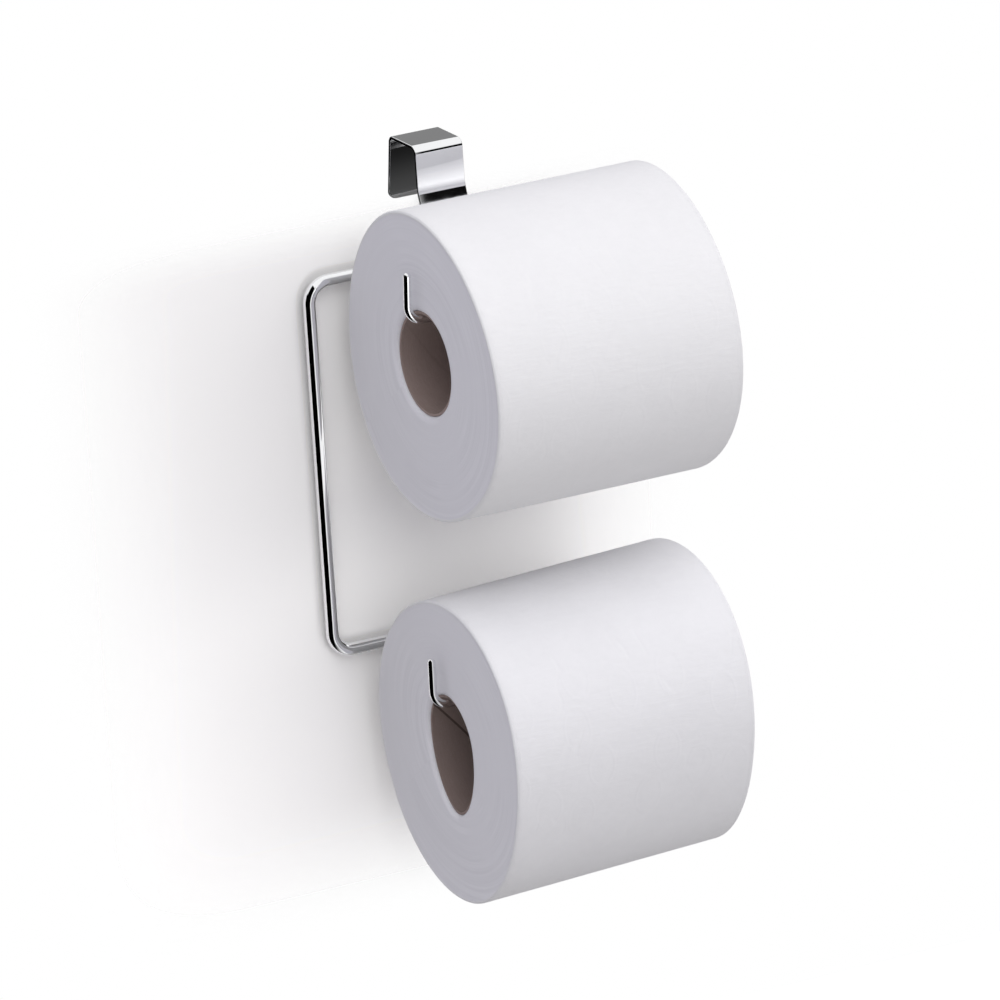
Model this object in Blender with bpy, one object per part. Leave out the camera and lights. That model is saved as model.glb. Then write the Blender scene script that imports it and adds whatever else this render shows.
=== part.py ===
"""Double toilet roll holder that hangs on the top edge of a panel, with a roll on each of its two arms.

Metres. X runs along the panel, Y into it, Z up. The origin is the middle of the hook's inner top face, which
rests on the panel's edge.
"""

import math

import bmesh
import bpy
from mathutils import Matrix, Vector

# Clearances between pieces that touch
seat_gap = 0.0003
cut_overrun = 0.004

# Hook strip
panel_thickness = 0.019
strip_width = 0.0196
strip_thickness = 0.0012
strip_edge_chamfer = 0.0002
hook_bend_radius = 0.002
rear_leg_length = 0.0252
rear_leg_flare = math.radians(9.5)
rear_leg_corner = 0.003
joggle_drop = 0.0156
joggle_length = 0.016
joggle_bend_radius = 0.012
strip_tail = 0.0095
strip_offset = -0.0031

# Frame rod
rod_diameter = 0.005
frame_width = 0.122
frame_height = 0.143
frame_corner_radius = 0.008
seat_to_top_rail = 0.0414
rail_overhang = 0.004
rail_end_chamfer = 0.0008

# Arms
wire_diameter = 0.003
arm_bend_radius = 0.006
tip_bend_radius = 0.006
tip_height = 0.0188
tip_lean = math.radians(3)
weld_diameter = 0.0046
weld_length = 0.0018
lower_arm_droop = math.radians(2.1)

# Rolls
turning_clearance = 0.00055
roll_end_play = 0.0087
core_wall = 0.0009
core_setback = 0.0015
paper_edge_round = 0.0012
face_ring_depth = 0.00015
sheet_end_step = 0.0003
sheet_end_run = 0.0006
sheet_end_angle = math.radians(-35)

upper_roll_width = 0.1003
upper_roll_radius = 0.0587
upper_roll_oval_share = 0.0164
upper_roll_oval_lean = math.radians(69.4)
upper_roll_lobe_share = 0.0151
upper_roll_lobe_lean = math.radians(72.6)
upper_roll_shift = 0.001
upper_roll_sag = 0.0021
upper_bore_radius = 0.0185
upper_bore_widening = 0.0015
upper_bore_lean = math.radians(-21.5)

lower_roll_width = 0.0988
lower_roll_radius = 0.0574
lower_roll_oval_share = 0.0636
lower_roll_oval_lean = math.radians(31.4)
lower_roll_lobe_share = 0.0153
lower_roll_lobe_lean = math.radians(21.6)
lower_roll_shift = 0.0012
lower_roll_sag = 0.004
lower_bore_radius = 0.016
lower_crease_depth = 0.017
lower_crease_angle = math.radians(-87.6)
crease_half_angle = math.radians(98)
crease_blunt_angle = math.radians(12)
crease_sharpness = 2.28

# Facets
rod_sides = 14
wire_sides = 12
bend_steps = 8
dome_steps = 5
roll_steps = 80
edge_steps = 3
face_rings = 4
sharp_edge = math.radians(40)

rod_radius = rod_diameter / 2
wire_radius = wire_diameter / 2

upper_roll = {
    "width": upper_roll_width,
    "radius": upper_roll_radius,
    "oval": upper_roll_oval_share,
    "oval_lean": upper_roll_oval_lean,
    "lobes": upper_roll_lobe_share,
    "lobe_lean": upper_roll_lobe_lean,
    "shift": upper_roll_shift,
    "sag": upper_roll_sag,
    "bore": upper_bore_radius,
    "widening": upper_bore_widening,
    "crease": 0,
}
lower_roll = {
    "width": lower_roll_width,
    "radius": lower_roll_radius,
    "oval": lower_roll_oval_share,
    "oval_lean": lower_roll_oval_lean,
    "lobes": lower_roll_lobe_share,
    "lobe_lean": lower_roll_lobe_lean,
    "shift": lower_roll_shift,
    "sag": lower_roll_sag,
    "bore": lower_bore_radius,
    "widening": 0,
    "crease": lower_crease_depth,
}


def turn_steps():
    """Angles once round a roll, starting and ending on either side of the paper's free end."""
    last = 2 * math.pi - sheet_end_run / upper_roll_radius
    return [sheet_end_angle + last * step / (roll_steps - 1) for step in range(roll_steps)]


def bore_radius(roll, angle):
    """The core's inner radius: least where it hangs on the wire, wider or creased where it was crushed."""
    widening = roll["widening"] * math.cos(angle - upper_bore_lean) ** 2
    away = abs((angle - lower_crease_angle + math.pi) % (2 * math.pi) - math.pi)
    near = max(0, 1 - math.hypot(away, crease_blunt_angle) / crease_half_angle)
    return roll["bore"] + widening + roll["crease"] * near**crease_sharpness


def paper_radius(roll, angle):
    """The wound paper's outer radius: crushed out of round and set off its axis, with the sheet's free end."""
    oval = roll["oval"] * math.cos(2 * (angle - roll["oval_lean"]))
    lobes = roll["lobes"] * math.cos(3 * (angle - roll["lobe_lean"]))
    set_off = roll["shift"] * math.cos(angle) - roll["sag"] * math.sin(angle)
    wound = (angle - sheet_end_angle) / (2 * math.pi)
    return roll["radius"] * (1 - oval + lobes) + set_off + sheet_end_step * (wound - 1)


def swept_radius(roll):
    """The largest radius that the paper reaches as the roll turns."""
    return max(paper_radius(roll, angle) for angle in turn_steps())


def axis_drop(roll):
    """How far the roll's axis hangs below the middle of its wire."""
    return roll["bore"] - wire_radius - seat_gap


def reach_past_rail():
    """How far the arms stand out for the lower roll to turn clear of the rail above it."""
    away = swept_radius(lower_roll) + turning_clearance + rod_radius
    return math.sqrt(away**2 - axis_drop(lower_roll) ** 2)


def reach_past_strip():
    """How far the arms stand out for the upper roll to turn clear of the strip's tail on its rail."""
    away = swept_radius(upper_roll) + turning_clearance
    below = max(0, axis_drop(upper_roll) - strip_tail)
    return math.sqrt(away**2 - below**2) + rod_radius + seat_gap + strip_thickness


# The roll's end stands a little way into the tip's bend, where the wire starts to rise towards the core
bend_inside = tip_bend_radius - wire_radius
edge_ride = math.sqrt(bend_inside**2 - (bend_inside - seat_gap) ** 2)
tip_to_face = tip_bend_radius - edge_ride + seat_gap
arm_length = tip_to_face + max(upper_roll_width, lower_roll_width) + roll_end_play + wire_radius
arm_reach = max(reach_past_rail(), reach_past_strip())

# Places that follow from the sizes
rail_y = -(panel_thickness / 2 + rod_radius)
arm_y = rail_y - arm_reach
left_x = -strip_offset - frame_width / 2
run_x = left_x + frame_width
tip_x = run_x - arm_length
face_x = tip_x + tip_to_face
top_rail_z = -seat_to_top_rail
bottom_rail_z = top_rail_z - frame_height


def clear_scene():
    for obj in list(bpy.data.objects):
        bpy.data.objects.remove(obj, do_unlink=True)


def make_material(name, colour, roughness, metallic):
    material = bpy.data.materials.new(name)
    material.use_nodes = True
    shader = material.node_tree.nodes["Principled BSDF"]
    shader.inputs["Base Color"].default_value = (*colour, 1)
    shader.inputs["Roughness"].default_value = roughness
    shader.inputs["Metallic"].default_value = metallic
    return material


def add_object(name, data, material):
    data.materials.clear()
    data.materials.append(material)
    obj = bpy.data.objects.new(name, data)
    bpy.context.scene.collection.objects.link(obj)
    return obj


def rounded_path(corners, radii):
    """The corners joined by straight runs, with an arc of the given radius at each inner corner."""
    points = [corners[0]]
    for before, corner, after, radius in zip(corners, corners[1:], corners[2:], radii):
        to_before = (before - corner).normalized()
        to_after = (after - corner).normalized()
        half = to_before.angle(to_after) / 2
        centre = corner + (to_before + to_after).normalized() * (radius / math.sin(half))
        start = corner + to_before * (radius / math.tan(half)) - centre
        axis = to_before.cross(to_after)
        turn = math.pi - 2 * half
        for step in range(bend_steps + 1):
            points.append(centre + Matrix.Rotation(-turn * step / bend_steps, 3, axis) @ start)
    points.append(corners[-1])
    return points


def dome_stations(radius):
    """How far each ring of a rounded end lies from the end, and its share of the full radius."""
    stations = []
    for step in range(1, dome_steps + 1):
        angle = math.pi / 2 * step / dome_steps
        stations.append((radius * (1 - math.cos(angle)), math.sin(angle)))
    return stations


def add_rod(name, path, diameter, sides, start_stations, end_stations, material):
    """A round rod along the path. The stations shape its two ends: distance from the end, share of the radius."""
    along = [(path[0] + (path[1] - path[0]).normalized() * away, share) for away, share in start_stations]
    along += [(point, 1) for point in path[1:-1]]
    back = (path[-2] - path[-1]).normalized()
    along += [(path[-1] + back * away, share) for away, share in reversed(end_stations)]
    curve = bpy.data.curves.new(name, "CURVE")
    curve.dimensions = "3D"
    curve.twist_mode = "MINIMUM"
    curve.bevel_depth = diameter / 2
    curve.bevel_resolution = sides // 2 - 2
    curve.use_fill_caps = True
    spline = curve.splines.new("POLY")
    spline.points.add(len(along) - 1)
    for point, (place, share) in zip(spline.points, along):
        point.co = (*place, 1)
        point.radius = share
    return add_object(name, curve, material)


def curve_to_mesh(obj):
    """Replaces a curve object by a mesh object of the same name, place and material."""
    graph = bpy.context.evaluated_depsgraph_get()
    mesh = bpy.data.meshes.new_from_object(obj.evaluated_get(graph))
    name = obj.name
    material = obj.data.materials[0]
    bpy.data.objects.remove(obj, do_unlink=True)
    shape = bmesh.new()
    shape.from_mesh(mesh)
    bmesh.ops.remove_doubles(shape, verts=shape.verts, dist=seat_gap / 10)
    bmesh.ops.recalc_face_normals(shape, faces=shape.faces)
    shape.to_mesh(mesh)
    shape.free()
    mesh.shade_smooth()
    mesh.set_sharp_from_angle(angle=sharp_edge)
    return add_object(name, mesh, material)


def add_rod_cutter(name, centre):
    """What clears a weld from the rail that it sits on."""
    shape = bmesh.new()
    bmesh.ops.create_cone(
        shape,
        cap_ends=True,
        segments=2 * rod_sides,
        radius1=rod_radius + seat_gap,
        radius2=rod_radius + seat_gap,
        depth=weld_diameter + 2 * cut_overrun,
    )
    mesh = bpy.data.meshes.new(name)
    shape.to_mesh(mesh)
    shape.free()
    cutter = bpy.data.objects.new(name, mesh)
    cutter.matrix_world = Matrix.Translation(centre) @ Matrix.Rotation(math.pi / 2, 4, "Y")
    cutter.hide_render = True
    cutter.display_type = "WIRE"
    bpy.context.scene.collection.objects.link(cutter)
    return cutter


def lofted_mesh(name, rings, closed):
    """A skin through rings of points. A closed loft joins its last ring to its first, and an open one has end caps."""
    shape = bmesh.new()
    rows = [[shape.verts.new(point) for point in ring] for ring in rings]
    pairs = list(zip(rows, rows[1:]))
    if closed:
        pairs.append((rows[-1], rows[0]))
    for row, following in pairs:
        for side in range(len(row)):
            after = (side + 1) % len(row)
            shape.faces.new((row[side], row[after], following[after], following[side]))
    if not closed:
        shape.faces.new(rows[0])
        shape.faces.new(rows[-1])
    bmesh.ops.recalc_face_normals(shape, faces=shape.faces)
    mesh = bpy.data.meshes.new(name)
    shape.to_mesh(mesh)
    shape.free()
    mesh.shade_smooth()
    mesh.set_sharp_from_angle(angle=sharp_edge)
    return mesh


def strip_path():
    """The strip's middle surface in the YZ plane, from the rear leg's end over the top to the tail."""
    half = strip_thickness / 2
    front_y = -panel_thickness / 2 - half
    joggled_y = rail_y - rod_radius - seat_gap - half
    rear_top = Vector((0, panel_thickness / 2 + half, half))
    leg = Vector((0, math.sin(rear_leg_flare), -math.cos(rear_leg_flare)))
    corners = [
        rear_top + leg * rear_leg_length,
        rear_top,
        Vector((0, front_y, half)),
        Vector((0, front_y, -joggle_drop)),
        Vector((0, joggled_y, -joggle_drop - joggle_length)),
        Vector((0, joggled_y, top_rail_z - strip_tail)),
    ]
    radii = [hook_bend_radius + half] * 2 + [joggle_bend_radius] * 2
    return rounded_path(corners, radii)


def corner_stations(corner):
    """How far each ring of a strip's rounded end lies from the end, and how much each side draws in there."""
    stations = []
    for step in range(bend_steps + 1):
        angle = math.pi / 2 * step / bend_steps
        stations.append((corner * (1 - math.sin(angle)), corner * (1 - math.cos(angle))))
    return list(reversed(stations))


def strip_ring(middle, along, half_width):
    """The strip's cross-section at one place on its path, with its long edges chamfered."""
    across = Vector((1, 0, 0))
    out = across.cross(along)
    half = strip_thickness / 2
    cut = strip_edge_chamfer
    ring = []
    for side, face in ((1, 1), (-1, 1), (-1, -1), (1, -1)):
        near_edge = middle + across * (side * half_width) + out * (face * (half - cut))
        near_face = middle + across * (side * (half_width - cut)) + out * (face * half)
        ring += [near_edge, near_face] if side == face else [near_face, near_edge]
    return ring


def add_hook_strip(material):
    path = strip_path()
    half_width = strip_width / 2
    directions = [(after - before).normalized() for before, after in zip(path, path[1:])]
    tangents = [directions[0]]
    tangents += [(a + b).normalized() for a, b in zip(directions, directions[1:])]
    tangents.append(directions[-1])
    rings = []
    for away, draw_in in corner_stations(rear_leg_corner):
        rings.append(strip_ring(path[0] + directions[0] * away, directions[0], half_width - draw_in))
    for middle, along in zip(path[1:-1], tangents[1:-1]):
        rings.append(strip_ring(middle, along, half_width))
    for away, draw_in in reversed(corner_stations(rear_leg_corner)):
        rings.append(strip_ring(path[-1] - directions[-1] * away, directions[-1], half_width - draw_in))
    return add_object("hook_strip", lofted_mesh("hook_strip", rings, closed=False), material)


def add_frame_rod(material):
    end_x = run_x + rail_overhang
    corners = [
        Vector((end_x, rail_y, top_rail_z)),
        Vector((left_x, rail_y, top_rail_z)),
        Vector((left_x, rail_y, bottom_rail_z)),
        Vector((end_x, rail_y, bottom_rail_z)),
    ]
    path = rounded_path(corners, [frame_corner_radius] * 2)
    end = [(0, 1 - rail_end_chamfer / rod_radius), (rail_end_chamfer, 1)]
    return add_rod("frame_rod", path, rod_diameter, rod_sides, end, end, material)


def droop_about(pivot, droop):
    return Matrix.Translation(pivot) @ Matrix.Rotation(-droop, 4, "Y") @ Matrix.Translation(-pivot)


def add_arm(name, rail_z, droop, material):
    """A wire welded to the rail's front, run forward, bent back along the roll and turned up at its tip."""
    root = Vector((run_x, rail_y, rail_z))
    corners = [
        root,
        Vector((run_x, arm_y, rail_z)),
        Vector((tip_x, arm_y, rail_z)),
        Vector((tip_x + tip_height * math.sin(tip_lean), arm_y, rail_z + tip_height * math.cos(tip_lean))),
    ]
    path = rounded_path(corners, [arm_bend_radius, tip_bend_radius])
    path = [droop_about(root, droop) @ point for point in path]
    weld_share = weld_diameter / wire_diameter
    weld_start = rod_radius + seat_gap
    weld = [(0, weld_share), (weld_start, weld_share), (weld_start + weld_length, 1)]
    arm = add_rod(name, path, wire_diameter, wire_sides, weld, dome_stations(wire_radius), material)
    arm = curve_to_mesh(arm)
    cut = arm.modifiers.new("saddle", "BOOLEAN")
    cut.operation = "DIFFERENCE"
    cut.solver = "EXACT"
    cut.object = add_rod_cutter(name + "_cutter", root)
    return arm


def paper_profile(outer, inner):
    """Depth from the end face and radius of each ring, from the outer edge over one end face to the bore."""
    rows = []
    for step in range(edge_steps + 1):
        angle = math.pi / 2 * step / edge_steps
        depth = paper_edge_round * (1 - math.sin(angle))
        rows.append((depth, outer - paper_edge_round * (1 - math.cos(angle))))
    face = outer - inner - 2 * paper_edge_round
    for ring in range(1, 2 * face_rings):
        depth = face_ring_depth if ring % 2 else 0
        rows.append((depth, outer - paper_edge_round - face * ring / (2 * face_rings)))
    rows.append((0, inner + paper_edge_round))
    rows.append((paper_edge_round, inner))
    return rows


def roll_ring(angle, width, rows):
    """One slice of a roll at an angle from the roll's axis, from rows of depth and radius, on both ends."""
    out = Vector((0, math.cos(angle), math.sin(angle)))
    left = [Vector((depth, 0, 0)) + out * radius for depth, radius in rows]
    right = [Vector((width - depth, 0, 0)) + out * radius for depth, radius in rows]
    return left + list(reversed(right))


def add_roll(name, roll, arm_z, droop, paper_material, core_material):
    """A core that hangs on the wire by the top of its bore, and the paper on it, both about the roll's axis."""
    root = Vector((run_x, rail_y, arm_z))
    axis_z = arm_z - axis_drop(roll)
    place = droop_about(root, droop) @ Matrix.Translation((face_x, arm_y, axis_z))
    papers = []
    cores = []
    for angle in turn_steps():
        bore = bore_radius(roll, angle)
        profile = paper_profile(paper_radius(roll, angle), bore + core_wall + seat_gap)
        papers.append(roll_ring(angle, roll["width"], profile))
        cores.append(roll_ring(angle, roll["width"], [(core_setback, bore + core_wall), (core_setback, bore)]))
    paper = add_object(name + "_paper", lofted_mesh(name + "_paper", papers, closed=True), paper_material)
    core = add_object(name + "_core", lofted_mesh(name + "_core", cores, closed=True), core_material)
    for piece in (paper, core):
        piece.matrix_world = place


def main():
    clear_scene()
    chrome = make_material("chrome", (0.78, 0.79, 0.8), 0.06, 1)
    paper = make_material("paper", (0.84, 0.84, 0.86), 0.9, 0)
    cardboard = make_material("cardboard", (0.3, 0.24, 0.2), 0.85, 0)
    add_hook_strip(chrome)
    add_frame_rod(chrome)
    add_arm("upper_arm", top_rail_z, 0, chrome)
    add_arm("lower_arm", bottom_rail_z, lower_arm_droop, chrome)
    add_roll("upper", upper_roll, top_rail_z, 0, paper, cardboard)
    add_roll("lower", lower_roll, bottom_rail_z, lower_arm_droop, paper, cardboard)


main()
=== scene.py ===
"""The looks of a double toilet roll holder: bright plated wire and strip, two wound rolls on crushed cores.

Metres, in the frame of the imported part: X along the panel, Y into it, Z up, the origin on the panel's edge.
"""

import math

import bpy
from mathutils import Matrix, Vector, noise


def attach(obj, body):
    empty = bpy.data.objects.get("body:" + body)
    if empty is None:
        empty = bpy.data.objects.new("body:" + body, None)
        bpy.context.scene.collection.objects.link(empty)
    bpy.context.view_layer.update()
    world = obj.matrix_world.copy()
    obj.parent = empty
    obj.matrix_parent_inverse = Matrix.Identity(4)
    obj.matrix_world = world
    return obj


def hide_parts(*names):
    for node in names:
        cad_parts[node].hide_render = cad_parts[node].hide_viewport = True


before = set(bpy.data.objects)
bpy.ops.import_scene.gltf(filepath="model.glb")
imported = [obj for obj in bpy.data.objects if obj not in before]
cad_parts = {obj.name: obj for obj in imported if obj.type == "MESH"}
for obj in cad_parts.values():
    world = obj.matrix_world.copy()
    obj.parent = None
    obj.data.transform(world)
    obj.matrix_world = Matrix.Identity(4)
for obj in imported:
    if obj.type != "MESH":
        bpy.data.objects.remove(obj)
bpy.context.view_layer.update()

# Hook strip
panel_thickness = 0.019
strip_width = 0.0196
strip_thickness = 0.0012
strip_edge_round = 0.0003
strip_crease_angle = math.radians(14)
hook_bend_radius = 0.002
rear_leg_length = 0.0252
rear_leg_flare = math.radians(9.5)
rear_leg_corner = 0.003
joggle_drop = 0.0156
joggle_length = 0.016
joggle_bend_radius = 0.012
strip_tail = 0.0095
strip_offset = -0.0031

# Frame rod
rod_radius = 0.0025
frame_width = 0.122
frame_height = 0.143
frame_corner_radius = 0.008
seat_to_top_rail = 0.0414
rail_overhang = 0.004
rail_end_round = 0.0008

# Arms
wire_radius = 0.0015
arm_length = 0.1151845
arm_reach = 0.066536
arm_bend_radius = 0.006
tip_bend_radius = 0.006
tip_height = 0.0188
tip_lean = math.radians(3)
weld_radius = 0.0023
weld_length = 0.0018
weld_seat_shares = (0.02, 0.3, 0.6, 0.85)
lower_arm_droop = math.radians(2.1)

# Rolls
seat_gap = 0.0003
core_wall = 0.0009
core_setback = 0.0015
core_flat_radius = 0.017
core_crease_angle = math.radians(50)
paper_edge_round = 0.0012
face_rim_drop = 0.0009
face_rim_width = 0.0014
sheet_end_step = 0.0003
sheet_end_run = 0.0006
sheet_end_angle = math.radians(-35)
upper_bore_lean = math.radians(-21.5)
lower_crease_angle = math.radians(-87.6)
crease_half_angle = math.radians(98)
crease_blunt_angle = math.radians(12)
crease_sharpness = 2.28
face_to_tip = 0.0046845
seam_pitch = 0.084
seam_start = 0.1277
seam_half_width = 0.0007

upper_roll = {
    "name": "upper",
    "width": 0.1003,
    "radius": 0.0587,
    "oval": 0.0164,
    "oval_lean": math.radians(69.4),
    "lobes": 0.0151,
    "lobe_lean": math.radians(72.6),
    "shift": 0.001,
    "sag": 0.0021,
    "bore": 0.0185,
    "widening": 0.0015,
    "crease": 0,
    "seed": 3.1,
    "ruffle": 0.00018,
    "seam_depth": 0.00004,
}
lower_roll = {
    "name": "lower",
    "width": 0.0988,
    "radius": 0.0574,
    "oval": 0.0636,
    "oval_lean": math.radians(31.4),
    "lobes": 0.0153,
    "lobe_lean": math.radians(21.6),
    "shift": 0.0012,
    "sag": 0.004,
    "bore": 0.016,
    "widening": 0,
    "crease": 0.017,
    "seed": 17.7,
    "ruffle": 0.0003,
    "seam_depth": 0.0003,
}

# Ripples of the outer sheet: how many per metre round the roll and along it, and their shares of the ruffle
slow_ripple = (28, 16)
slack_ripple = (130, 34)
fine_ripple = (300, 160)
slow_share = 0.5
slack_share = 0.35
fine_share = 0.12
sunk_share = 0.6

# Waves of the cut ends
end_wave_depth = 0.0002
end_wave_count = 40
end_ring_depth = 0.00012
end_ring_count = 700
end_ring_drift = 0.7

# Smoothness of the meshes
bend_steps = 20
round_sides = 40
dome_steps = 8
edge_steps = 6
turn_count = 360
side_rows = 84
face_rows = 24
core_turns = 180
core_rows = 60

# Wall and floor: their painted shade low down and high up, their shade as a source of light, and painted
# contact shadows
low_shade = 1.39
high_shade = 1.12
lit_shade = 0.56
shaded_heights = (-0.32, 0.0)
stage_tint = (1, 0.99, 0.965)
contact_direction = (0.5, -0.6, -0.6)
contact_distance = 0.0036
contact_samples = 6
floor_level = -0.36
floor_near = -1.2
floor_half_width = 1
wall_half_width = 0.6
wall_top = -0.012

# Where the wall fades: heights for its top and foot, places along it for its left and right
top_fade = (-0.036, -0.013)
foot_fade = (-0.292, -0.238)
left_fade = (-0.172, -0.1)
right_fade = (0.03, 0.1)

# Cards and lamps that only mirrors see
side_card_x = -0.12
side_card_depths = (-0.3, -0.025)
side_card_heights = (-0.3, 0.05)
slot_card_half_width = 0.012
slot_card_heights = (-0.034, -0.012)
strip_lamp_sides = (-0.004, 0.032)
strip_lamp_low = Vector((0, -0.0285, -0.0255))
strip_lamp_high = Vector((0, -0.037, -0.0148))
strip_lamp_fade = (-0.026, -0.012)
tip_lamp_sides = (-0.0527, -0.0477)
tip_lamp_stand = 0.009
tip_lamp_below = 0.006
tip_lamp_above = 0.0175

# Light
key_direction = (0.22, -0.57, 0.79)
key_angle = math.radians(90)
key_energy = 1.84
key_colour = (1, 1, 0.985)
fill_colour = (0.915, 0.905, 1, 1)
fill_strength = 0.505

# Camera, at the photograph's place and angle
camera_place = Vector((-1.614314, -3.244019, 1.041172))
camera_right = Vector((0.88203847, -0.4671405, -0.06154576))
camera_up = Vector((0.19715039, 0.24726403, 0.9486792))
sensor_width = 36
lens_length = 368.44

# Places that follow from the sizes
wall_y = -panel_thickness / 2 + seat_gap / 2
rail_y = -(panel_thickness / 2 + rod_radius)
arm_y = rail_y - arm_reach
left_x = -strip_offset - frame_width / 2
run_x = left_x + frame_width
tip_x = run_x - arm_length
face_x = tip_x + face_to_tip
top_rail_z = -seat_to_top_rail
bottom_rail_z = top_rail_z - frame_height
least_radius = seat_gap / 10


# Node helpers

rise = (0.0, 1.0)
fall = (1.0, 0.0)


def new_material(name):
    material = bpy.data.materials.new(name)
    material.use_nodes = True
    return material, material.node_tree, material.node_tree.nodes["Principled BSDF"]


def feed(tree, socket, value):
    """Links another node's output to a socket, or sets the socket to a plain value."""
    if isinstance(value, bpy.types.NodeSocket):
        tree.links.new(value, socket)
    else:
        socket.default_value = value


def math_node(tree, operation, first, second=0.0, third=0.0):
    node = tree.nodes.new("ShaderNodeMath")
    node.operation = operation
    for socket, value in zip(node.inputs, (first, second, third)):
        feed(tree, socket, value)
    return node.outputs[0]


def product(tree, first, *others):
    for other in others:
        first = math_node(tree, "MULTIPLY", first, other)
    return first


def largest(tree, first, *others):
    for other in others:
        first = math_node(tree, "MAXIMUM", first, other)
    return first


def mean(tree, first, second):
    return math_node(tree, "MULTIPLY", math_node(tree, "ADD", first, second), 0.5)


def distance_from(tree, level, value):
    return math_node(tree, "ABSOLUTE", math_node(tree, "SUBTRACT", value, level))


def map_node(tree, value, span, onto=rise):
    """A smooth step: the span of the value onto another span, level beyond it."""
    node = tree.nodes.new("ShaderNodeMapRange")
    node.interpolation_type = "SMOOTHSTEP"
    tree.links.new(value, node.inputs["Value"])
    for socket, limit in zip(("From Min", "From Max", "To Min", "To Max"), (*span, *onto)):
        feed(tree, node.inputs[socket], limit)
    return node.outputs["Result"]


def noise_node(tree, vector, scale, detail, rough=0.5):
    node = tree.nodes.new("ShaderNodeTexNoise")
    tree.links.new(vector, node.inputs["Vector"])
    node.inputs["Scale"].default_value = scale
    node.inputs["Detail"].default_value = detail
    node.inputs["Roughness"].default_value = rough
    return node.outputs["Fac"]


def mapping_node(tree, vector, scale, turn=0.0):
    node = tree.nodes.new("ShaderNodeMapping")
    tree.links.new(vector, node.inputs["Vector"])
    node.inputs["Scale"].default_value = scale
    node.inputs["Rotation"].default_value = (0, 0, turn)
    return node.outputs["Vector"]


def stretched_noise(tree, vector, scale, detail, rough=0.5, turn=0.0):
    return noise_node(tree, mapping_node(tree, vector, scale, turn), 1, detail, rough)


def colour_mix(tree, share, first, second):
    """A colour between two, each a plain colour or another node's output."""
    node = tree.nodes.new("ShaderNodeMix")
    node.data_type = "RGBA"
    tree.links.new(share, node.inputs["Factor"])
    for socket, colour in zip((node.inputs[6], node.inputs[7]), (first, second)):
        feed(tree, socket, colour if isinstance(colour, bpy.types.NodeSocket) else (*colour, 1))
    return node.outputs[2]


def bump_node(tree, height, strength, depth, before=None):
    node = tree.nodes.new("ShaderNodeBump")
    tree.links.new(height, node.inputs["Height"])
    node.inputs["Strength"].default_value = strength
    node.inputs["Distance"].default_value = depth
    if before is not None:
        tree.links.new(before, node.inputs["Normal"])
    return node.outputs["Normal"]


def coordinates(tree, kind):
    return tree.nodes.new("ShaderNodeTexCoord").outputs[kind]


def split(tree, vector):
    """The X, Y and Z of a vector."""
    node = tree.nodes.new("ShaderNodeSeparateXYZ")
    tree.links.new(vector, node.inputs[0])
    return node.outputs


def finish_surface(tree, shader, colour, roughness, gloss, normal):
    tree.links.new(colour, shader.inputs["Base Color"])
    shader.inputs["Roughness"].default_value = roughness
    shader.inputs["Specular IOR Level"].default_value = gloss
    tree.links.new(normal, shader.inputs["Normal"])


# Materials


def make_chrome():
    """Bright plate with a slight haze and a faint ripple."""
    plate_colour = (0.9, 0.905, 0.915, 1)
    ripple_depth = 0.00002
    material, tree, shader = new_material("bright_chrome")
    place = coordinates(tree, "Object")
    shader.inputs["Base Color"].default_value = plate_colour
    shader.inputs["Metallic"].default_value = 1
    haze = noise_node(tree, place, scale=90, detail=4)
    roughness = map_node(tree, haze, span=(0.35, 0.75), onto=(0.035, 0.075))
    tree.links.new(roughness, shader.inputs["Roughness"])
    ripple = noise_node(tree, place, scale=420, detail=1)
    tree.links.new(bump_node(tree, ripple, strength=0.12, depth=ripple_depth), shader.inputs["Normal"])
    return material


def pressed_rings(tree, flat, creased):
    """A light emboss of small rings all over the sheet."""
    ring_share = 0.3
    ring_width_share = 0.05
    depth = 0.00012
    cells = tree.nodes.new("ShaderNodeTexVoronoi")
    cells.voronoi_dimensions = "2D"
    cells.inputs["Randomness"].default_value = 0.45
    cells.inputs["Scale"].default_value = 1
    turned = mapping_node(tree, flat, scale=(34, 58, 1), turn=math.radians(32))
    tree.links.new(turned, cells.inputs["Vector"])
    ring = distance_from(tree, ring_share, cells.outputs["Distance"])
    emboss = map_node(tree, ring, span=(0.0, ring_width_share))
    return bump_node(tree, emboss, strength=0.08 + 0.12 * creased, depth=depth)


def handling_creases(tree, flat, creased, before):
    """A few thin creases, in patches."""
    middle_share = 0.5
    line_width_share = 0.03
    depth = 0.0002
    bend = stretched_noise(tree, flat, scale=(26, 44, 1), detail=2, turn=math.radians(-24))
    line = distance_from(tree, middle_share, bend)
    thin = map_node(tree, line, span=(0.0, line_width_share), onto=fall)
    patches = noise_node(tree, flat, scale=60, detail=1)
    where = map_node(tree, patches, span=(0.55, 0.7))
    crease = product(tree, thin, where)
    return bump_node(tree, crease, strength=0.35 * creased, depth=depth, before=before)


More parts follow.
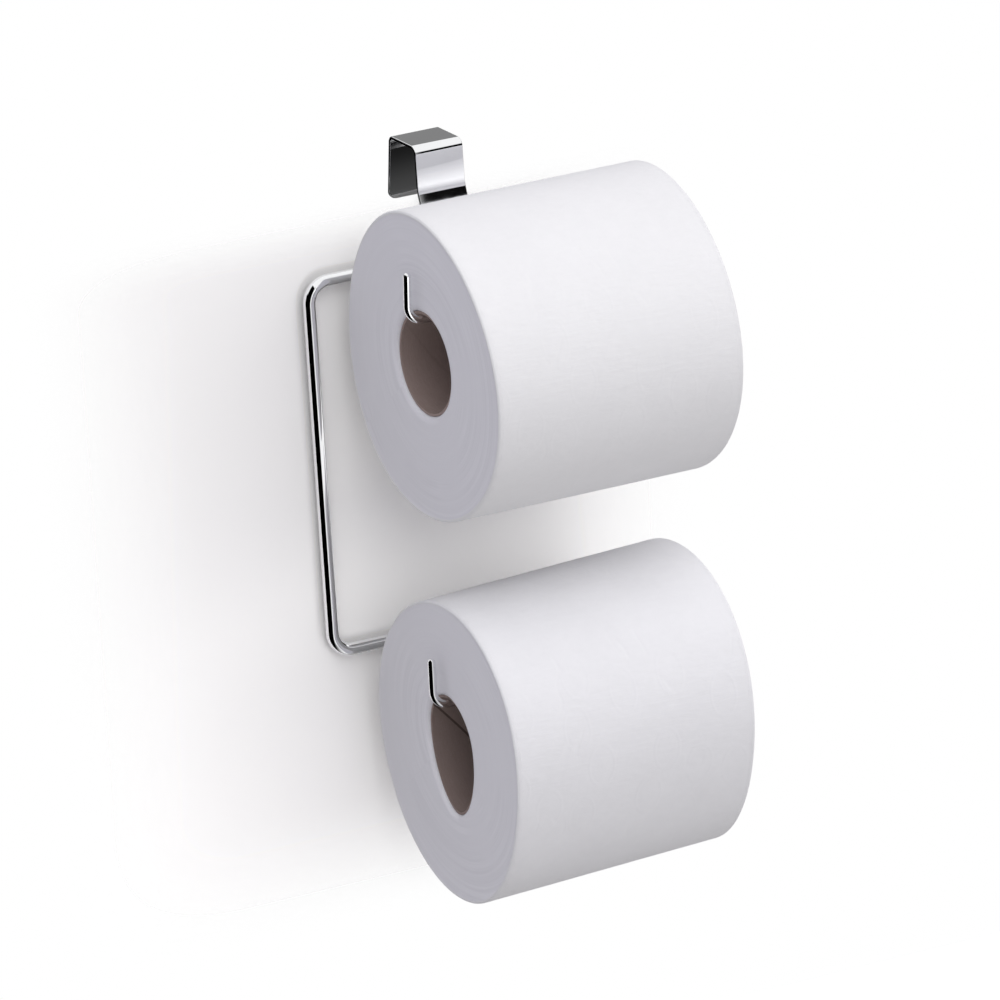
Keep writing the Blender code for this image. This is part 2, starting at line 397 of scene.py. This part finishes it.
def make_paper_side(name, creased, shade_tint):
    """Tissue: soft fibres, faint ripple, a light all-over emboss and a few thin creases."""
    # The blue in these tones is a painted tint of the light: a little less on the upper roll, which the
    # bluish fill lights, and a little more on the lower one, in the upper roll's shade.
    dark_tone = (0.83, 0.827, 0.83 * shade_tint)
    light_tone = (0.912, 0.908, 0.912 * shade_tint)
    ripple_stretch = (1, 0.24, 1)
    ripple_depth = 0.0002
    fibre_depth = 0.00005
    material, tree, shader = new_material(name)
    flat = coordinates(tree, "UV")
    place = coordinates(tree, "Object")
    mottle = noise_node(tree, place, scale=260, detail=5, rough=0.65)
    cloud = noise_node(tree, place, scale=45, detail=3)
    tone = colour_mix(tree, mean(tree, mottle, cloud), dark_tone, light_tone)
    pressed = pressed_rings(tree, flat, creased)
    crease = handling_creases(tree, flat, creased, pressed)
    ripple = noise_node(tree, mapping_node(tree, flat, ripple_stretch), scale=620, detail=3)
    rippled = bump_node(tree, ripple, strength=0.7, depth=ripple_depth, before=crease)
    fibre = noise_node(tree, place, scale=2600, detail=4, rough=0.7)
    normal = bump_node(tree, fibre, strength=0.4, depth=fibre_depth, before=rippled)
    finish_surface(tree, shader, tone, roughness=0.95, gloss=0.2, normal=normal)
    return material


def make_paper_end():
    """The cut end of a wound roll: rings of layers, some proud of the next, and a few lighter loose ones."""
    # The end's tones are a little bluer than the side's: a painted tint of the shade on the ends.
    dark_tone = (0.84, 0.835, 0.868)
    light_tone = (0.902, 0.897, 0.93)
    middle_share = 0.5
    loose_share = 0.3
    winding_depth = 0.00015
    band_depth = 0.0004
    loose_depth = 0.0002
    fibre_depth = 0.00005
    material, tree, shader = new_material("tissue_end")
    flat = coordinates(tree, "UV")
    place = coordinates(tree, "Object")
    windings = stretched_noise(tree, flat, scale=(9, 900, 1), detail=4, rough=0.6)
    bands = stretched_noise(tree, flat, scale=(5, 330, 1), detail=2)
    strands = stretched_noise(tree, flat, scale=(16, 620, 1), detail=1)
    loose = map_node(tree, strands, span=(0.6, 0.8))
    rings = map_node(tree, mean(tree, windings, bands), span=(0.38, 0.62), onto=(0.0, 0.9))
    ringed = math_node(tree, "MULTIPLY_ADD", loose, loose_share, rings)
    clouds = noise_node(tree, place, scale=34, detail=1)
    patch = map_node(tree, clouds, span=(0.42, 0.62), onto=(0.15, 1.0))
    off_middle = math_node(tree, "SUBTRACT", ringed, middle_share)
    light = math_node(tree, "MULTIPLY_ADD", off_middle, patch, middle_share)
    tone = colour_mix(tree, light, dark_tone, light_tone)
    layered = bump_node(tree, windings, strength=0.45, depth=winding_depth)
    banded = bump_node(tree, product(tree, bands, patch), strength=0.35, depth=band_depth, before=layered)
    raised = bump_node(tree, loose, strength=0.25, depth=loose_depth, before=banded)
    fibre = noise_node(tree, place, scale=2400, detail=4, rough=0.7)
    normal = bump_node(tree, fibre, strength=0.4, depth=fibre_depth, before=raised)
    finish_surface(tree, shader, tone, roughness=0.95, gloss=0.15, normal=normal)
    return material


def spiral_seam(tree, flat, strength):
    """1 or less on the thin line of the core's spiral seam, 0 away from it."""
    half_turn_share = 0.5
    along = split(tree, flat)
    round_share = math_node(tree, "DIVIDE", along["X"], 2 * math.pi * core_flat_radius)
    turn = math_node(tree, "ADD", math_node(tree, "DIVIDE", along["Y"], seam_pitch), round_share)
    away = math_node(tree, "PINGPONG", math_node(tree, "SUBTRACT", turn, seam_start), half_turn_share)
    edge_share = seam_half_width / seam_pitch
    return map_node(tree, away, span=(edge_share / 2, edge_share), onto=(strength, 0.0))


def make_cardboard(name, shade, seam_strength):
    """Grey-brown board, rolled in a spiral whose seam shows as a thin dark line."""
    # The shade factor darkens the whole board; below 1 it is painted shade.
    dark_board = [shade * part for part in (0.28, 0.217, 0.192)]
    light_board = [shade * part for part in (0.45, 0.352, 0.32)]
    seam_colour = (0.13, 0.095, 0.08)
    grain_depth = 0.0001
    material, tree, shader = new_material(name)
    flat = coordinates(tree, "UV")
    place = coordinates(tree, "Object")
    specks = noise_node(tree, place, scale=1500, detail=5, rough=0.7)
    fibres = stretched_noise(tree, flat, scale=(300, 2200, 1), detail=3, turn=math.radians(28))
    grain = mean(tree, specks, fibres)
    board = colour_mix(tree, grain, dark_board, light_board)
    colour = colour_mix(tree, spiral_seam(tree, flat, seam_strength), board, seam_colour)
    normal = bump_node(tree, grain, strength=0.4, depth=grain_depth)
    finish_surface(tree, shader, colour, roughness=0.88, gloss=0.2, normal=normal)
    return material


# Meshes


def skin(name, rings, closed=False):
    """A smooth skin through rings of points, with its ends capped unless the last ring joins the first."""
    count = len(rings[0])
    points = [tuple(point) for ring in rings for point in ring]
    faces = []
    last = len(rings) if closed else len(rings) - 1
    for row in range(last):
        here = row * count
        after = (row + 1) % len(rings) * count
        for side in range(count):
            turn = (side + 1) % count
            faces.append((here + side, here + turn, after + turn, after + side))
    if not closed:
        faces.append(tuple(range(count))[::-1])
        faces.append(tuple(range(last * count, last * count + count)))
    mesh = bpy.data.meshes.new(name)
    mesh.from_pydata(points, [], faces)
    mesh.shade_smooth()
    return mesh


def place_piece(name, mesh, materials, body, node):
    piece = bpy.data.objects.new(name, mesh)
    for material in materials:
        mesh.materials.append(material)
    bpy.context.scene.collection.objects.link(piece)
    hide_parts(node)
    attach(piece, body)
    return piece


def rounded_path(corners, radii):
    """The corners joined by straight runs, with an arc of the given radius at each inner corner."""
    points = [corners[0]]
    for before, corner, after, radius in zip(corners, corners[1:], corners[2:], radii):
        to_before = (before - corner).normalized()
        to_after = (after - corner).normalized()
        half = to_before.angle(to_after) / 2
        centre = corner + (to_before + to_after).normalized() * (radius / math.sin(half))
        start = corner + to_before * (radius / math.tan(half)) - centre
        axis = to_before.cross(to_after)
        turn = math.pi - 2 * half
        for step in range(bend_steps + 1):
            points.append(centre + Matrix.Rotation(-turn * step / bend_steps, 3, axis) @ start)
    points.append(corners[-1])
    return points


def path_tangents(path):
    directions = [(after - before).normalized() for before, after in zip(path, path[1:])]
    inner = [(a + b).normalized() for a, b in zip(directions, directions[1:])]
    return [directions[0], *inner, directions[-1]]


def quarter_turn(steps):
    """The angles of a quarter of a circle, from nothing up."""
    return [math.pi / 2 * step / steps for step in range(steps + 1)]


def round_end(radius, reach):
    """Distance from the end and radius of each ring of a rounded end, from its tip inward."""
    stations = []
    for angle in quarter_turn(dome_steps):
        stations.append((reach * (1 - math.cos(angle)), radius - reach * (1 - math.sin(angle))))
    return stations


def tube_rings(path, radius, start, end):
    """Rings round a path. The start and end stations give distance from that end and the radius there."""
    tangents = path_tangents(path)
    stops = [(path[0] + tangents[0] * away, tangents[0], size) for away, size in start]
    stops += [(point, along, radius) for point, along in zip(path[1:-1], tangents[1:-1])]
    stops += [(path[-1] - tangents[-1] * away, tangents[-1], size) for away, size in reversed(end)]
    across = tangents[0].orthogonal().normalized()
    rings = []
    for centre, along, size in stops:
        across = (across - along * across.dot(along)).normalized()
        up = along.cross(across)
        ring = []
        for side in range(round_sides):
            angle = 2 * math.pi * side / round_sides
            out = across * math.cos(angle) + up * math.sin(angle)
            ring.append(centre + out * max(size, least_radius))
        rings.append(ring)
    return rings


# Metal pieces


def strip_path():
    """The middle of the strip, from the hook's rear leg over the panel's edge and down to the tail."""
    half = strip_thickness / 2
    front_y = -panel_thickness / 2 - half
    joggled_y = rail_y - rod_radius - seat_gap - half
    rear_top = Vector((0, panel_thickness / 2 + half, half))
    leg = Vector((0, math.sin(rear_leg_flare), -math.cos(rear_leg_flare)))
    corners = [
        rear_top + leg * rear_leg_length,
        rear_top,
        Vector((0, front_y, half)),
        Vector((0, front_y, -joggle_drop)),
        Vector((0, joggled_y, -joggle_drop - joggle_length)),
        Vector((0, joggled_y, top_rail_z - strip_tail)),
    ]
    return rounded_path(corners, [hook_bend_radius + half] * 2 + [joggle_bend_radius] * 2)


def strip_ring(middle, along, half_width):
    """The strip's cross-section with its long edges rounded."""
    across = Vector((1, 0, 0))
    out = across.cross(along)
    flat_half_width = half_width - strip_edge_round
    flat_half_depth = strip_thickness / 2 - strip_edge_round
    ring = []
    for side, face in ((1, 1), (-1, 1), (-1, -1), (1, -1)):
        corner = middle + across * (side * flat_half_width) + out * (face * flat_half_depth)
        arc = []
        for angle in quarter_turn(edge_steps):
            turned = across * (side * math.cos(angle)) + out * (face * math.sin(angle))
            arc.append(corner + turned * strip_edge_round)
        ring += arc if side == face else arc[::-1]
    return ring


def add_strip(chrome):
    path = strip_path()
    tangents = path_tangents(path)
    first, last = tangents[0], tangents[-1]
    half_width = strip_width / 2
    stations = []
    for angle in quarter_turn(bend_steps):
        stations.append((rear_leg_corner * (1 - math.cos(angle)), rear_leg_corner * (1 - math.sin(angle))))
    rings = [strip_ring(path[0] + first * away, first, half_width - cut) for away, cut in stations]
    rings += [strip_ring(middle, along, half_width) for middle, along in zip(path[1:-1], tangents[1:-1])]
    for away, cut in reversed(stations):
        rings.append(strip_ring(path[-1] - last * away, last, half_width - cut))
    mesh = skin("plated_strip", rings)
    mesh.set_sharp_from_angle(angle=strip_crease_angle)
    place_piece("plated_strip", mesh, [chrome], "holder", "hook_strip")


def add_frame_rod(chrome):
    end_x = run_x + rail_overhang
    corners = [
        Vector((end_x, rail_y, top_rail_z)),
        Vector((left_x, rail_y, top_rail_z)),
        Vector((left_x, rail_y, bottom_rail_z)),
        Vector((end_x, rail_y, bottom_rail_z)),
    ]
    path = rounded_path(corners, [frame_corner_radius] * 2)
    end = round_end(rod_radius, rail_end_round)
    mesh = skin("plated_frame", tube_rings(path, rod_radius, end, end))
    place_piece("plated_frame", mesh, [chrome], "holder", "frame_rod")


def droop_about(pivot, droop):
    return Matrix.Translation(pivot) @ Matrix.Rotation(-droop, 4, "Y") @ Matrix.Translation(-pivot)


def weld_stations():
    """A weld's flare from the rail to the wire, as distance from the rail's middle and radius."""
    stations = []
    for angle in quarter_turn(dome_steps):
        flare = (weld_radius - wire_radius) * (1 - math.sin(angle))
        stations.append((rod_radius + weld_length * (1 - math.cos(angle)), wire_radius + flare))
    return stations


def seat_on_rail(ring, rail_z):
    """Moves a ring's points back onto the front of the rail."""
    seated = []
    for point in ring:
        height = point.z - rail_z
        depth = math.sqrt(max(0, rod_radius**2 - height**2))
        seated.append(Vector((point.x, rail_y - depth - least_radius, point.z)))
    return seated


def add_arm(name, node, rail_z, droop, chrome):
    """A wire welded to the rail's front, run forward, bent back along the roll and turned up at its tip."""
    root = Vector((run_x, rail_y, rail_z))
    tip_run = Vector((tip_height * math.sin(tip_lean), 0, tip_height * math.cos(tip_lean)))
    corners = [
        root,
        Vector((run_x, arm_y, rail_z)),
        Vector((tip_x, arm_y, rail_z)),
        Vector((tip_x, arm_y, rail_z)) + tip_run,
    ]
    path = rounded_path(corners, [arm_bend_radius, tip_bend_radius])
    drooped = [droop_about(root, droop) @ point for point in path]
    rings = tube_rings(drooped, wire_radius, weld_stations(), round_end(wire_radius, wire_radius))
    base = seat_on_rail(rings[0], rail_z)
    seats = []
    for share in weld_seat_shares:
        seats.append(seat_on_rail([root + (point - root) * share for point in base], rail_z))
    rings = [*seats, base, *rings[1:]]
    place_piece(name, skin(name, rings), [chrome], "holder", node)


# Rolls


def turn_angles(count):
    """Angles once round a roll, from the outer end of its sheet."""
    last = 2 * math.pi - sheet_end_run / upper_roll["radius"]
    return [sheet_end_angle + last * step / (count - 1) for step in range(count)]


def bore_radius(roll, angle):
    widening = roll["widening"] * math.cos(angle - upper_bore_lean) ** 2
    away = abs((angle - lower_crease_angle + math.pi) % (2 * math.pi) - math.pi)
    near = max(0, 1 - math.hypot(away, crease_blunt_angle) / crease_half_angle)
    return roll["bore"] + widening + roll["crease"] * near**crease_sharpness


def paper_radius(roll, angle):
    oval = roll["oval"] * math.cos(2 * (angle - roll["oval_lean"]))
    lobes = roll["lobes"] * math.cos(3 * (angle - roll["lobe_lean"]))
    set_off = roll["shift"] * math.cos(angle) - roll["sag"] * math.sin(angle)
    wound = (angle - sheet_end_angle) / (2 * math.pi)
    return roll["radius"] * (1 - oval + lobes) + set_off + sheet_end_step * (wound - 1)


def ripple_at(roll, depth, angle, ripple, layer):
    """One pattern of ripples at a place on the outer sheet. Each layer has its own draw."""
    around, along = ripple
    arc = angle * roll["radius"]
    return noise.noise(Vector((arc * around, depth * along, roll["seed"] + layer)))


def ruffle(roll, depth, angle):
    """How far the outer sheet sinks at a place: slack ripples along the roll and a few soft dents."""
    slow = ripple_at(roll, depth, angle, slow_ripple, 0)
    slack = ripple_at(roll, depth, angle, slack_ripple, 5)
    fine = ripple_at(roll, depth, angle, fine_ripple, 9)
    sink = slow_share * slow + slack_share * slack * (0.5 + slow) + fine_share * fine
    return -roll["ruffle"] * (sunk_share - sink)


def end_wave(roll, angle, radius):
    """How far the cut end's layers stand behind the end plane."""
    across = math.cos(angle)
    up = math.sin(angle)
    slow = noise.noise(Vector((across, up, roll["seed"] + radius * end_wave_count)))
    drift = Vector((radius * end_ring_count, across * end_ring_drift, roll["seed"] + up * end_ring_drift))
    rings = noise.noise(drift)
    return end_wave_depth * (0.5 + 0.5 * slow) + end_ring_depth * (0.5 + 0.5 * rings)


def half_profile(outer, inner):
    """Depth behind the end plane and radius of each ring, from the outer edge to the bore."""
    rows = []
    for angle in quarter_turn(edge_steps):
        rim = outer - face_rim_width * (1 - math.cos(angle))
        rows.append((face_rim_drop * (1 - math.sin(angle)), rim))
    face = outer - inner - face_rim_width - paper_edge_round
    for ring in range(1, face_rows):
        rows.append((0, outer - face_rim_width - face * ring / face_rows))
    rows.append((0, inner + paper_edge_round))
    rows.append((paper_edge_round, inner))
    return rows


def roll_place(roll, rail_z, droop):
    """Where a roll hangs: its bore on the wire, its left end just right of the tip."""
    root = Vector((run_x, rail_y, rail_z))
    axis_z = rail_z - (roll["bore"] - wire_radius - seat_gap)
    return droop_about(root, droop) @ Matrix.Translation((face_x, arm_y, axis_z))


def paper_ring(roll, angle):
    """One slice of the wound paper: over the side, the right end, the bore and the left end."""
    outer = paper_radius(roll, angle)
    rows = half_profile(outer, bore_radius(roll, angle) + core_wall + seat_gap)
    out = Vector((0, math.cos(angle), math.sin(angle)))
    width = roll["width"]
    points = []
    flat = []
    for step in range(1, side_rows):
        depth = face_rim_drop + (width - 2 * face_rim_drop) * step / side_rows
        points.append(Vector((depth, 0, 0)) + out * (outer + ruffle(roll, depth, angle)))
        flat.append((angle * roll["radius"], depth))
    for right in (True, False):
        ordered = rows if right else rows[::-1]
        for depth, radius in ordered:
            on_end = depth == 0
            on_side = radius > outer - face_rim_width / 2
            back = depth + (end_wave(roll, angle, radius) if on_end else 0)
            x = width - back if right else back
            size = radius + (ruffle(roll, x, angle) if on_side else 0)
            points.append(Vector((x, 0, 0)) + out * size)
            flat.append((angle * roll["radius"], radius))
    return points, flat


def set_flat(mesh, rings, count):
    """Gives the mesh its flat coordinates, in metres, from those of each ring."""
    layer = mesh.uv_layers.new(name="flat")
    for polygon in mesh.polygons:
        for loop in polygon.loop_indices:
            vertex = mesh.loops[loop].vertex_index
            layer.data[loop].uv = rings[vertex // count][vertex % count]


def add_paper(roll, place, side, end):
    slices = [paper_ring(roll, angle) for angle in turn_angles(turn_count)]
    name = roll["name"] + "_wound_paper"
    mesh = skin(name, [points for points, flat in slices], closed=True)
    count = len(slices[0][0])
    set_flat(mesh, [flat for points, flat in slices], count)
    first_end = side_rows - 1 + edge_steps
    last_end = count - edge_steps - 1
    for polygon in mesh.polygons:
        row = polygon.index % count
        polygon.material_index = 1 if first_end <= row < last_end else 0
    mesh.transform(place)
    place_piece(name, mesh, [side, end], roll["name"] + "_roll", roll["name"] + "_paper")


def seam_groove(roll, depth, angle):
    """How far the core's wall sinks at the spiral seam between two turns of its board."""
    turn = (depth / seam_pitch + angle / (2 * math.pi) - seam_start) % 1
    away = min(turn, 1 - turn) * seam_pitch
    return roll["seam_depth"] * max(0, 1 - away / seam_half_width)


def core_ring(roll, angle):
    """One slice of the core: through the bore from left to right and back over the outside."""
    bore = bore_radius(roll, angle)
    out = Vector((0, math.cos(angle), math.sin(angle)))
    length = roll["width"] - 2 * core_setback
    points = []
    flat = []
    for step in range(core_rows + 1):
        depth = core_setback + length * step / core_rows
        points.append(Vector((depth, 0, 0)) + out * (bore + seam_groove(roll, depth, angle)))
        flat.append((angle * core_flat_radius, depth))
    for depth in (core_setback + length, core_setback):
        points.append(Vector((depth, 0, 0)) + out * (bore + core_wall))
        flat.append((angle * core_flat_radius, depth))
    return points, flat


def add_core(roll, place, board):
    slices = [core_ring(roll, angle) for angle in turn_angles(core_turns)]
    name = roll["name"] + "_board_core"
    mesh = skin(name, [points for points, flat in slices], closed=True)
    set_flat(mesh, [flat for points, flat in slices], len(slices[0][0]))
    mesh.set_sharp_from_angle(angle=core_crease_angle)
    mesh.transform(place)
    place_piece(name, mesh, [board], roll["name"] + "_roll", roll["name"] + "_core")


# Stage


def seen_ray(tree):
    """1 for the rays of the camera, of mirrors and of glass."""
    path = tree.nodes.new("ShaderNodeLightPath").outputs
    return largest(tree, path["Is Camera Ray"], path["Is Glossy Ray"], path["Is Transmission Ray"])


def add_stage_plane(name, corners, material):
    mesh = bpy.data.meshes.new(name)
    mesh.from_pydata(corners, [], [(0, 1, 2, 3)])
    mesh.materials.append(material)
    plane = bpy.data.objects.new(name, mesh)
    bpy.context.scene.collection.objects.link(plane)
    return plane


def contact_shade(tree):
    """A painted contact shadow: darker just beside whatever touches the surface, up and left of it, where the
    light is held off.
    """
    towards = tree.nodes.new("ShaderNodeCombineXYZ")
    for socket, value in zip(towards.inputs, contact_direction):
        socket.default_value = value
    near = tree.nodes.new("ShaderNodeAmbientOcclusion")
    near.samples = contact_samples
    near.inputs["Distance"].default_value = contact_distance
    tree.links.new(towards.outputs[0], near.inputs["Normal"])
    return map_node(tree, near.outputs["AO"], span=(0.4, 0.95), onto=(0.7, 1.0))


def pale_material(name):
    """A pale surface, lighter to the camera and in mirrors than in the light that it gives back. To the
    camera its brightness is painted: lighter low down than high up, and darker beside contacts.

    Returns the material and its tree, the outputs of the place, the shader and the output node.
    """
    material, tree, shader = new_material(name)
    tree.nodes.remove(shader)
    place = split(tree, coordinates(tree, "Object"))
    open_shade = map_node(tree, place["Z"], shaded_heights, onto=(low_shade, high_shade))
    seen_shade = product(tree, open_shade, contact_shade(tree))
    more = math_node(tree, "SUBTRACT", seen_shade, lit_shade)
    shade = math_node(tree, "MULTIPLY_ADD", seen_ray(tree), more, lit_shade)
    tinted = tree.nodes.new("ShaderNodeVectorMath")
    tinted.operation = "SCALE"
    tinted.inputs[0].default_value = stage_tint
    tree.links.new(shade, tinted.inputs["Scale"])
    diffuse = tree.nodes.new("ShaderNodeBsdfDiffuse")
    tree.links.new(tinted.outputs[0], diffuse.inputs["Color"])
    output = tree.nodes["Material Output"]
    tree.links.new(diffuse.outputs[0], output.inputs["Surface"])
    return material, tree, place, diffuse, output


def mix_shaders(tree, share, first, second):
    node = tree.nodes.new("ShaderNodeMixShader")
    for socket, source in zip(node.inputs, (share, first, second)):
        tree.links.new(source, socket)
    return node.outputs[0]


def add_wall():
    """The panel's front as a pale wall. It fades out on every side and is clear from behind."""
    material, tree, place, diffuse, output = pale_material("pale_wall")
    fades = (
        map_node(tree, place["Z"], top_fade, onto=fall),
        map_node(tree, place["Z"], foot_fade),
        map_node(tree, place["X"], left_fade),
        map_node(tree, place["X"], right_fade, onto=fall),
    )
    shown = product(tree, *fades)
    behind = tree.nodes.new("ShaderNodeNewGeometry").outputs["Backfacing"]
    clear = largest(tree, math_node(tree, "SUBTRACT", 1.0, shown), behind)
    glass = tree.nodes.new("ShaderNodeBsdfTransparent")
    surface = mix_shaders(tree, clear, diffuse.outputs[0], glass.outputs[0])
    tree.links.new(surface, output.inputs["Surface"])
    corners = [
        (-wall_half_width, wall_y, floor_level),
        (wall_half_width, wall_y, floor_level),
        (wall_half_width, wall_y, wall_top),
        (-wall_half_width, wall_y, wall_top),
    ]
    add_stage_plane("wall", corners, material)


def add_card(name, corners, low_glow, high_glow):
    """A reflector card that only mirrors see, with its own glow at its lower and upper edge."""
    material, tree, shader = new_material(name)
    tree.nodes.remove(shader)
    height = split(tree, coordinates(tree, "Object"))["Z"]
    glow = tree.nodes.new("ShaderNodeEmission")
    strength = map_node(tree, height, span=(corners[0][2], corners[2][2]), onto=(low_glow, high_glow))
    tree.links.new(strength, glow.inputs["Strength"])
    tree.links.new(glow.outputs[0], tree.nodes["Material Output"].inputs["Surface"])
    card = add_stage_plane(name, corners, material)
    card.visible_camera = False
    card.visible_diffuse = False
    card.visible_shadow = False
    card.visible_transmission = False


def add_cards():
    """A black card left of the arms' tips and a dark one in the hook's slot."""
    near, far = side_card_depths
    low, high = side_card_heights
    side = [(side_card_x, *place) for place in ((near, low), (far, low), (far, high), (near, high))]
    add_card("left_card", side, low_glow=0, high_glow=0)
    half = slot_card_half_width
    low, high = slot_card_heights
    slot = [(x, 0, z) for x, z in ((-half, low), (half, low), (half, high), (-half, high))]
    add_card("slot_card", slot, low_glow=0.065, high_glow=0.012)


def add_floor():
    """A pale floor that reaches back to the wall and no further. Mirrors don't see it."""
    material = pale_material("pale_floor")[0]
    half = floor_half_width
    places = ((-half, floor_near), (half, floor_near), (half, wall_y), (-half, wall_y))
    floor = add_stage_plane("floor", [(*place, floor_level) for place in places], material)
    floor.visible_glossy = False


def mirrored_room(tree):
    """What mirrors see: a bright ceiling, a dim back wall, a table at the right and a window in front."""
    side = split(tree, coordinates(tree, "Generated"))
    overhead = map_node(tree, side["Z"], span=(0.33, 0.46))
    behind = map_node(tree, side["Y"], span=(0.0, 0.3), onto=(0.002, 0.24))
    above = map_node(tree, side["Z"], span=(-0.1, 0.1))
    right = map_node(tree, side["X"], span=(-0.4, 0.2))
    below = map_node(tree, side["Z"], span=(-0.12, -0.02), onto=fall)
    before = map_node(tree, side["Y"], span=(-0.2, 0.0), onto=fall)
    window_left = map_node(tree, side["X"], span=(-0.24, -0.12))
    window_right = map_node(tree, side["X"], span=(0.24, 0.34), onto=fall)
    front = map_node(tree, side["Y"], span=(-0.85, -0.7), onto=fall)
    back = product(tree, behind, above)
    table = product(tree, right, below, before)
    window = product(tree, window_left, window_right, front)
    return largest(tree, overhead, back, table, window)


def make_world():
    """White to the camera, an even fill on the object, and a studio room in mirrors."""
    world = bpy.data.worlds.new("studio")
    bpy.context.scene.world = world
    world.use_nodes = True
    tree = world.node_tree
    fill = tree.nodes["Background"]
    fill.inputs["Color"].default_value = fill_colour
    fill.inputs["Strength"].default_value = fill_strength
    mirrored = tree.nodes.new("ShaderNodeBackground")
    tree.links.new(mirrored_room(tree), mirrored.inputs["Color"])
    white = tree.nodes.new("ShaderNodeBackground")
    white.inputs["Color"].default_value = (1, 1, 1, 1)
    path = tree.nodes.new("ShaderNodeLightPath").outputs
    in_mirror = mix_shaders(tree, path["Is Glossy Ray"], fill.outputs[0], mirrored.outputs[0])
    to_camera = mix_shaders(tree, path["Is Camera Ray"], in_mirror, white.outputs[0])
    tree.links.new(to_camera, tree.nodes["World Output"].inputs["Surface"])


def add_key_light():
    """A broad soft light from above, in front and a little to the right."""
    data = bpy.data.lights.new("key", "SUN")
    data.energy = key_energy
    data.angle = key_angle
    data.color = key_colour
    key = bpy.data.objects.new("key", data)
    key.rotation_mode = "QUATERNION"
    key.rotation_quaternion = Vector(key_direction).to_track_quat("Z", "Y")
    key.visible_glossy = False
    bpy.context.scene.collection.objects.link(key)


def add_mirror_lamp(name, sides, low, high, fade, glow):
    """A small lamp that only mirrors see. Its glow changes between two heights."""
    left, right = sides
    data = bpy.data.lights.new(name, "AREA")
    data.shape = "RECTANGLE"
    data.size = right - left
    data.size_y = (high - low).length
    data.energy = math.pi * data.size * data.size_y
    data.use_nodes = True
    tree = data.node_tree
    height = split(tree, tree.nodes.new("ShaderNodeNewGeometry").outputs["Position"])["Z"]
    tree.links.new(map_node(tree, height, fade, glow), tree.nodes["Emission"].inputs["Strength"])
    lamp = bpy.data.objects.new(name, data)
    up = (high - low).normalized()
    across = Vector((1, 0, 0))
    turn = Matrix((across, up, across.cross(up))).transposed().to_4x4()
    middle = (low + high) / 2 + across * ((left + right) / 2)
    lamp.matrix_world = Matrix.Translation(middle) @ turn
    lamp.visible_camera = False
    lamp.visible_diffuse = False
    lamp.visible_transmission = False
    bpy.context.scene.collection.objects.link(lamp)


def add_mirror_lamps():
    """One over the upper roll's back, for the strip, and one before the upper arm's tip."""
    low, high = strip_lamp_low, strip_lamp_high
    add_mirror_lamp("strip_lamp", strip_lamp_sides, low, high, strip_lamp_fade, glow=(0.85, 0.0))
    low = Vector((0, arm_y - tip_lamp_stand, top_rail_z - tip_lamp_below))
    high = Vector((0, arm_y - tip_lamp_stand, top_rail_z + tip_lamp_above))
    add_mirror_lamp("tip_lamp", tip_lamp_sides, low, high, (low.z, high.z), glow=(0.95, 0.95))


def add_camera():
    data = bpy.data.cameras.new("view")
    data.sensor_width = sensor_width
    data.lens = lens_length
    camera = bpy.data.objects.new("view", data)
    back = camera_right.cross(camera_up)
    turn = Matrix((camera_right, camera_up, back)).transposed().to_4x4()
    camera.matrix_world = Matrix.Translation(camera_place) @ turn
    bpy.context.scene.collection.objects.link(camera)
    bpy.context.scene.camera = camera


def add_metal():
    chrome = make_chrome()
    add_strip(chrome)
    add_frame_rod(chrome)
    add_arm("plated_upper_arm", "upper_arm", top_rail_z, 0, chrome)
    add_arm("plated_lower_arm", "lower_arm", bottom_rail_z, lower_arm_droop, chrome)


def add_roll(roll, rail_z, droop, side, end, board):
    place = roll_place(roll, rail_z, droop)
    add_paper(roll, place, side, end)
    add_core(roll, place, board)


def add_rolls():
    """The upper roll is smooth and almost round. The lower one is creased, with a dark seam in its core."""
    end = make_paper_end()
    side = make_paper_side("upper_tissue_side", creased=0.45, shade_tint=0.995)
    board = make_cardboard("upper_core_board", shade=1, seam_strength=0.1)
    add_roll(upper_roll, top_rail_z, 0, side, end, board)
    # The lower side is tinted bluer, a painted tint of its shade.
    side = make_paper_side("lower_tissue_side", creased=1, shade_tint=1.01)
    # The lower core's board is painted darker than the upper's, for the deeper shade in its crushed bore.
    board = make_cardboard("lower_core_board", shade=0.84, seam_strength=1)
    add_roll(lower_roll, bottom_rail_z, lower_arm_droop, side, end, board)


def set_look():
    bpy.context.scene.view_settings.view_transform = "Standard"


add_metal()
add_rolls()
add_wall()
add_cards()
add_floor()
make_world()
add_key_light()
add_mirror_lamps()
add_camera()
set_look()
